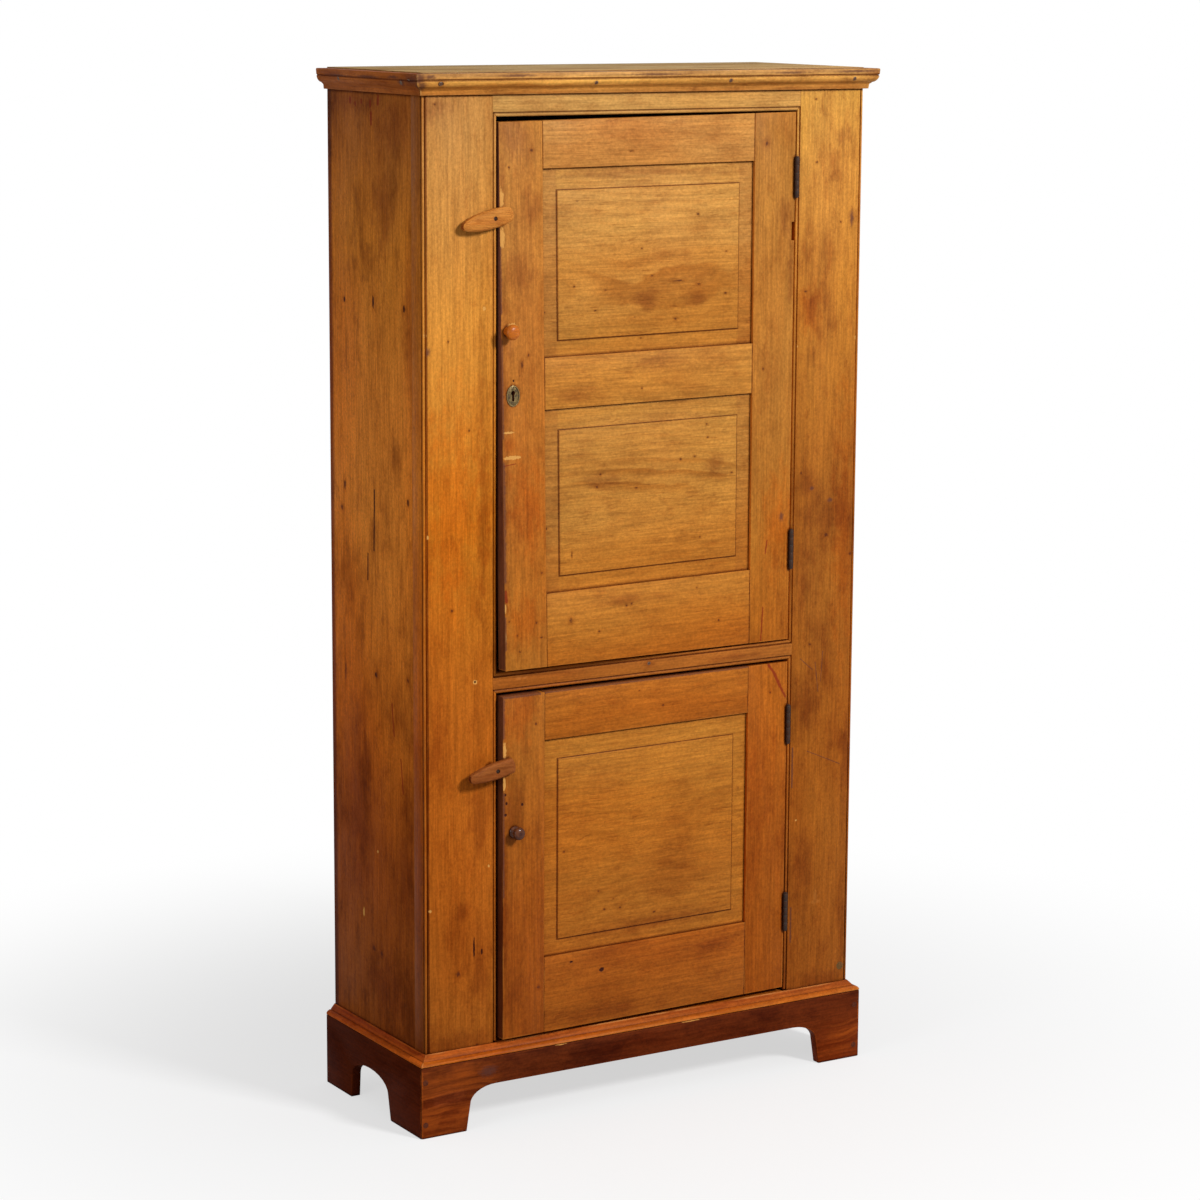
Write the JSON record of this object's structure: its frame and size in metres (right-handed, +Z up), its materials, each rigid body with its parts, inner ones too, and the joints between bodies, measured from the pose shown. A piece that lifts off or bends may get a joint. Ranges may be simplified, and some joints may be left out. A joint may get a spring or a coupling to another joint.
{
  "type": "pantry cupboard",
  "caption": "Tall pine pantry cupboard with a moulded cornice, bracket base, an upper and a lower panelled door on butt hinges, and wooden turn buttons",
  "frame": {"origin": "on the floor, at the middle of the whole object's width and depth", "axes": "+X to the right as seen from the front, -Y is the front with the doors, +Z is up"},
  "size_m": [1.02, 0.42, 2],
  "materials": {
    "pine": "honey varnish, worn at the edges",
    "inside_pine": "bare, aged",
    "dark_pine": "dark red-brown varnish, worn",
    "iron": "dark, slightly rusted",
    "brown_wood": "red-brown varnish",
    "glossy_brown": "dark gloss"
  },
  "bodies": {
    "cabinet": {"stile_left": "pine", "stile_right": "pine", "top_rail": "pine", "middle_rail": "pine", "bottom_rail": "pine", "side_left": "pine", "side_right": "pine", "top_board": "pine", "cornice_front": "pine", "cornice_left": "pine", "cornice_right": "pine", "bottom_board": "inside_pine", "lower_shelf": "inside_pine", "middle_shelf": "inside_pine", "upper_shelf_1": "inside_pine", "upper_shelf_2": "inside_pine", "upper_shelf_3": "inside_pine", "back_board_1": "inside_pine", "back_board_2": "inside_pine", "back_board_3": "inside_pine", "base_front": "dark_pine", "base_left": "dark_pine", "base_right": "dark_pine", "base_moulding_front": "dark_pine", "base_moulding_left": "dark_pine", "base_moulding_right": "dark_pine", "upper_hinge_1_frame_leaf": "iron", "upper_hinge_1_pin": "iron", "upper_hinge_2_frame_leaf": "iron", "upper_hinge_2_pin": "iron", "lower_hinge_1_frame_leaf": "iron", "lower_hinge_1_pin": "iron", "lower_hinge_2_frame_leaf": "iron", "lower_hinge_2_pin": "iron", "upper_button_screw": "iron", "lower_button_screw": "iron"},
    "upper_door": {"upper_door_latch_stile": "pine", "upper_door_hinge_stile": "pine", "upper_door_bottom_rail": "pine", "upper_door_lock_rail": "pine", "upper_door_top_rail": "pine", "upper_door_panel_1": "pine", "upper_door_panel_2": "pine", "upper_hinge_1_door_leaf": "iron", "upper_hinge_2_door_leaf": "iron", "upper_knob": "brown_wood", "keyhole_plate": "iron", "lock_case": "iron"},
    "lower_door": {"lower_door_latch_stile": "pine", "lower_door_hinge_stile": "pine", "lower_door_bottom_rail": "pine", "lower_door_top_rail": "pine", "lower_door_panel_1": "pine", "lower_hinge_1_door_leaf": "iron", "lower_hinge_2_door_leaf": "iron", "lower_knob": "glossy_brown"},
    "lock_bolt": {"lock_bolt": "iron"},
    "upper_button": {"upper_button": "brown_wood"},
    "lower_button": {"lower_button": "brown_wood"}
  },
  "joints": [
    {"name": "upper_door_hinge", "type": "hinge", "parent": "cabinet", "child": "upper_door", "pos_m": [0.3305, -0.1727, 1.4], "axis": [0, 0, 1], "range_deg": [0, 170]},
    {"name": "lower_door_hinge", "type": "hinge", "parent": "cabinet", "child": "lower_door", "pos_m": [0.3305, -0.1727, 0.5], "axis": [0, 0, 1], "range_deg": [-1.5, 168]},
    {"name": "lock_bolt_slide", "type": "slide", "parent": "upper_door", "child": "lock_bolt", "axis": [-0.9998, -0.0191, -0.0061], "range_m": [0, 0.011]},
    {"name": "upper_button_pivot", "type": "hinge", "parent": "cabinet", "child": "upper_button", "pos_m": [-0.3455, -0.1679, 1.735], "axis": [0, 1, 0], "continuous": true},
    {"name": "lower_button_pivot", "type": "hinge", "parent": "cabinet", "child": "lower_button", "pos_m": [-0.346, -0.1679, 0.7005], "axis": [0, 1, 0], "continuous": true}
  ]
}
